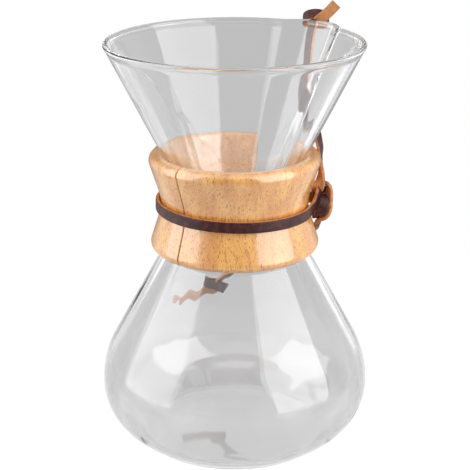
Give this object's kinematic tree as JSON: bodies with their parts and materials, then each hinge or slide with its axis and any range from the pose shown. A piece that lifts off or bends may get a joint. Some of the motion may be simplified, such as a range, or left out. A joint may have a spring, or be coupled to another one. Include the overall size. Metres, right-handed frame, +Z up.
{
  "type": "glass coffee pot",
  "caption": "Hourglass pour-over coffee pot of clear glass with a pouring channel up its funnel and a split wooden collar tied round its neck with a flat leather lace.",
  "frame": {"origin": "centre of the pot's foot, on the surface that the pot stands on", "axes": "+Z up along the pot's axis, +Y towards the pouring channel, +X through the middle of the right half of the collar"},
  "size_m": [0.1408, 0.156, 0.2234],
  "materials": {
    "glass": "clear, polished borosilicate glass",
    "wood": "honey-coloured hardwood with fine upright pores, clear glossy lacquer",
    "leather": "smooth dark purplish-brown grain side, tan cut edges and flesh side"
  },
  "bodies": {
    "root": {"glass_vessel": "glass", "collar_half_left": "wood", "collar_half_right": "wood", "lace_band": "leather", "lace_side_knot": "leather", "lace_upper_tail": "leather", "lace_upper_knot": "leather", "lace_lower_tail": "leather", "lace_lower_knot": "leather"}
  },
  "joints": []
}
